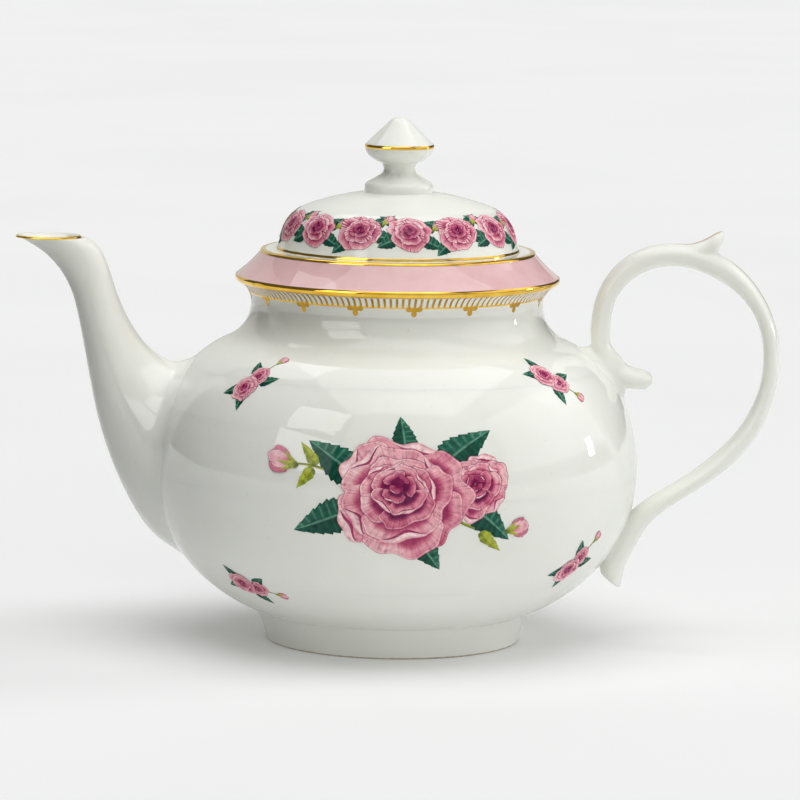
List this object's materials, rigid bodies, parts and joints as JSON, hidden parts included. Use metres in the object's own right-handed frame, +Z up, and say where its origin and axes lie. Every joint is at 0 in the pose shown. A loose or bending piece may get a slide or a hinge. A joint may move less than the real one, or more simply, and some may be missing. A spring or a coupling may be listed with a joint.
{
  "type": "teapot",
  "caption": "Round glazed china teapot on a foot ring, with an S-shaped spout, a loop handle with a thumb spur, a flanged collar and a domed lift-off lid with a knob.",
  "frame": {"origin": "centre of the foot ring on the table", "axes": "+X towards the handle, -X towards the spout, +Z up, the picture looks along +Y"},
  "size_m": [0.2557, 0.1624, 0.1752],
  "materials": {
    "china": "gloss"
  },
  "bodies": {
    "pot": {"pot_base": "china", "pot_lower_side": "china", "pot_upper_side": "china", "pot_shoulder": "china", "foot_ring": "china", "collar": "china", "spout": "china", "spout_strainer": "china", "handle": "china"},
    "lid": {"lid_dome": "china", "lid_flange": "china", "lid_knob": "china"}
  },
  "joints": [
    {"name": "lid_lift", "type": "slide", "parent": "pot", "child": "lid", "axis": [0, 0, 1], "range_m": [0, 0.12]}
  ]
}
